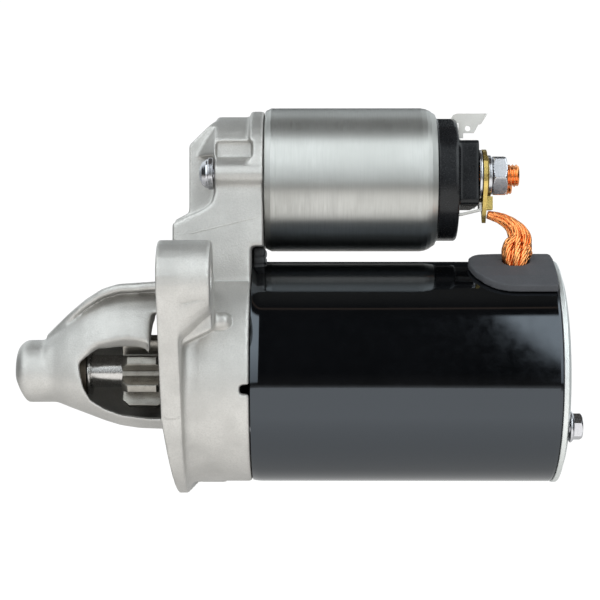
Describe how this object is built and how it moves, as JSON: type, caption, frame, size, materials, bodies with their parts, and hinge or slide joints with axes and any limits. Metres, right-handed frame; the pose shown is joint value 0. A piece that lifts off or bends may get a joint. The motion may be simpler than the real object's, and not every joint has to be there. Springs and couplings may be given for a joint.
{
  "type": "starter motor",
  "caption": "Car starter motor: permanent-magnet motor, open-nosed drive end with a sliding pinion, shift lever, and a solenoid on top with copper terminals.",
  "frame": {"origin": "on the motor axis, in the plane of the flange face that bolts to the engine", "axes": "X along the motor axis with the nose towards -X, +Z towards the solenoid"},
  "size_m": [0.1967, 0.126, 0.1386],
  "materials": {
    "cast_aluminium": "fine-grained die casting, satin",
    "zinc_plate": "bright zinc plating",
    "tin_plate": "dull tin plating",
    "steel": "ground steel",
    "gear_steel": "machined and tempered gear steel",
    "spring_steel": "drawn spring wire",
    "black_paint": "gloss black enamel on steel",
    "bakelite": "moulded black phenolic",
    "grey_rubber": "matt dark grey rubber",
    "black_rubber": "black rubber",
    "copper": "bare copper",
    "brass": "yellow passivated brass",
    "bronze": "sintered bronze, oily",
    "ferrite": "sintered ferrite",
    "carbon": "copper-graphite",
    "winding": "enamelled copper wire",
    "nylon": "glass-filled nylon"
  },
  "bodies": {
    "root": {"drive_end_housing": "cast_aluminium", "nose_bush": "bronze", "thrust_washer": "steel", "lever_seal": "black_rubber", "lever_pivot_pin": "steel", "yoke": "black_paint", "rear_cover": "zinc_plate", "rear_bush": "bronze", "lead_grommet": "grey_rubber", "motor_lead": "copper", "brush_plate": "zinc_plate", "through_bolt_near": "zinc_plate", "through_bolt_far": "zinc_plate", "field_magnet_1": "ferrite", "field_magnet_2": "ferrite", "field_magnet_3": "ferrite", "field_magnet_4": "ferrite", "solenoid_can": "zinc_plate", "solenoid_coil": "winding", "plunger_sleeve": "brass", "pole_piece": "steel", "terminal_cap": "bakelite", "spade_terminal": "tin_plate", "coil_strip": "tin_plate", "solenoid_screw_near": "zinc_plate", "solenoid_screw_far": "zinc_plate", "motor_stud": "copper", "battery_stud": "copper", "motor_flat_washer": "zinc_plate", "battery_flat_washer": "zinc_plate", "motor_nut": "zinc_plate", "battery_nut": "zinc_plate", "lead_lug": "brass", "motor_lock_washer": "zinc_plate", "return_spring": "spring_steel", "contact_spring": "spring_steel", "brush_spring_1": "spring_steel", "brush_spring_2": "spring_steel", "brush_spring_3": "spring_steel", "brush_spring_4": "spring_steel"},
    "armature": {"armature_shaft": "steel", "armature_core": "steel", "front_winding": "winding", "rear_winding": "winding", "commutator": "copper"},
    "plunger": {"plunger": "zinc_plate"},
    "lever": {"shift_lever": "nylon"},
    "collar": {"clutch_collar": "nylon"},
    "clutch": {"clutch_shell": "steel", "collar_snap_ring": "spring_steel"},
    "pinion": {"pinion": "gear_steel"},
    "contact": {"contact_rod": "steel", "contact_disc": "copper"},
    "brush_1": {"carbon_brush_1": "carbon"},
    "brush_2": {"carbon_brush_2": "carbon"},
    "brush_3": {"carbon_brush_3": "carbon"},
    "brush_4": {"carbon_brush_4": "carbon"}
  },
  "joints": [
    {"name": "armature_spin", "type": "hinge", "parent": "root", "child": "armature", "pos_m": [0, 0, 0], "axis": [1, 0, 0], "continuous": true},
    {"name": "plunger_slide", "type": "slide", "parent": "root", "child": "plunger", "axis": [1, 0, 0], "range_m": [0, 0.01], "stiffness_N_per_m": 1500, "springref_m": -0.008, "deforming": ["return_spring"]},
    {"name": "lever_pivot", "type": "hinge", "parent": "root", "child": "lever", "pos_m": [0.0254, 0, 0.036], "axis": [0, 1, 0], "range_deg": [0, 18.2]},
    {"name": "collar_slide", "type": "slide", "parent": "root", "child": "collar", "axis": [-1, 0, 0], "range_m": [0, 0.0113]},
    {"name": "clutch_spin", "type": "hinge", "parent": "collar", "child": "clutch", "pos_m": [0, 0, 0], "axis": [1, 0, 0], "continuous": true},
    {"name": "pinion_overrun", "type": "hinge", "parent": "clutch", "child": "pinion", "pos_m": [0, 0, 0], "axis": [1, 0, 0], "continuous": true},
    {"name": "contact_slide", "type": "slide", "parent": "root", "child": "contact", "axis": [1, 0, 0], "range_m": [0, 0.0026], "deforming": ["contact_spring"]},
    {"name": "brush_slide_1", "type": "slide", "parent": "root", "child": "brush_1", "axis": [0, 0.2199, 0.9755], "range_m": [0, 0.003], "stiffness_N_per_m": 900, "springref_m": -0.004, "deforming": ["brush_spring_1"]},
    {"name": "brush_slide_2", "type": "slide", "parent": "root", "child": "brush_2", "axis": [0, -0.9755, 0.2199], "range_m": [0, 0.003], "stiffness_N_per_m": 900, "springref_m": -0.004, "deforming": ["brush_spring_2"]},
    {"name": "brush_slide_3", "type": "slide", "parent": "root", "child": "brush_3", "axis": [0, -0.2199, -0.9755], "range_m": [0, 0.003], "stiffness_N_per_m": 900, "springref_m": -0.004, "deforming": ["brush_spring_3"]},
    {"name": "brush_slide_4", "type": "slide", "parent": "root", "child": "brush_4", "axis": [0, 0.9755, -0.2199], "range_m": [0, 0.003], "stiffness_N_per_m": 900, "springref_m": -0.004, "deforming": ["brush_spring_4"]}
  ],
  "couplings": [
    {"joint": "lever_pivot", "follows": "plunger_slide", "rad_per_m": 31.182},
    {"joint": "collar_slide", "follows": "plunger_slide", "ratio": 1.118},
    {"joint": "contact_slide", "follows": "plunger_slide", "ratio": 0.25},
    {"joint": "clutch_spin", "follows": "armature_spin", "ratio": 1}
  ]
}
